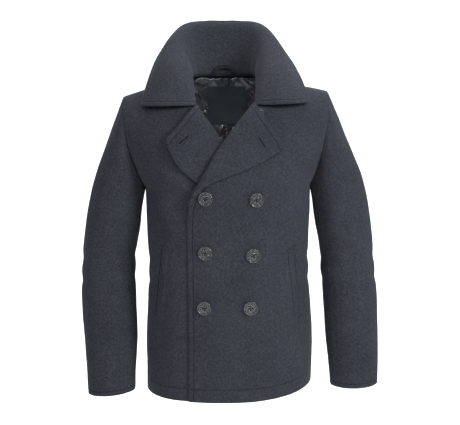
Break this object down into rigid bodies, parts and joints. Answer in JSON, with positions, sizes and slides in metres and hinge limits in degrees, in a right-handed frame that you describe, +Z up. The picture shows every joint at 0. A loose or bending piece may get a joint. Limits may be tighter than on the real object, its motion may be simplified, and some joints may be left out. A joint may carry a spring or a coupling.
{
  "type": "pea coat",
  "caption": "Double-breasted wool pea coat with a wide turned-up collar and folded lapels, hollow, in the form that it has when worn.",
  "frame": {"origin": "midway between the two shoulder points, where the wearer carries the coat", "axes": "+Z up, the front of the coat faces -Y, the wearer's left side is +X"},
  "size_m": [0.6565, 0.2915, 0.8117],
  "materials": {
    "melton_wool": "dark navy melton wool, felted and matt",
    "quilted_satin": "black quilted lining satin, softly shiny",
    "woven_label": "black woven label cloth, bare",
    "button_plastic": "dark grey moulded plastic with a soft gloss"
  },
  "bodies": {
    "root": {"front_left": "melton_wool", "front_right": "melton_wool", "back": "melton_wool", "sleeve_top_left": "melton_wool", "sleeve_top_right": "melton_wool", "sleeve_under_left": "melton_wool", "sleeve_under_right": "melton_wool", "collar": "melton_wool", "lapel_left": "melton_wool", "lapel_right": "melton_wool", "pocket_welt_left": "melton_wool", "pocket_welt_right": "melton_wool", "lining_back": "quilted_satin", "neck_label": "woven_label", "hanger_loop": "melton_wool", "button_1": "button_plastic", "button_2": "button_plastic", "button_3": "button_plastic", "button_4": "button_plastic", "button_5": "button_plastic", "button_6": "button_plastic", "button_7": "button_plastic"}
  },
  "joints": []
}
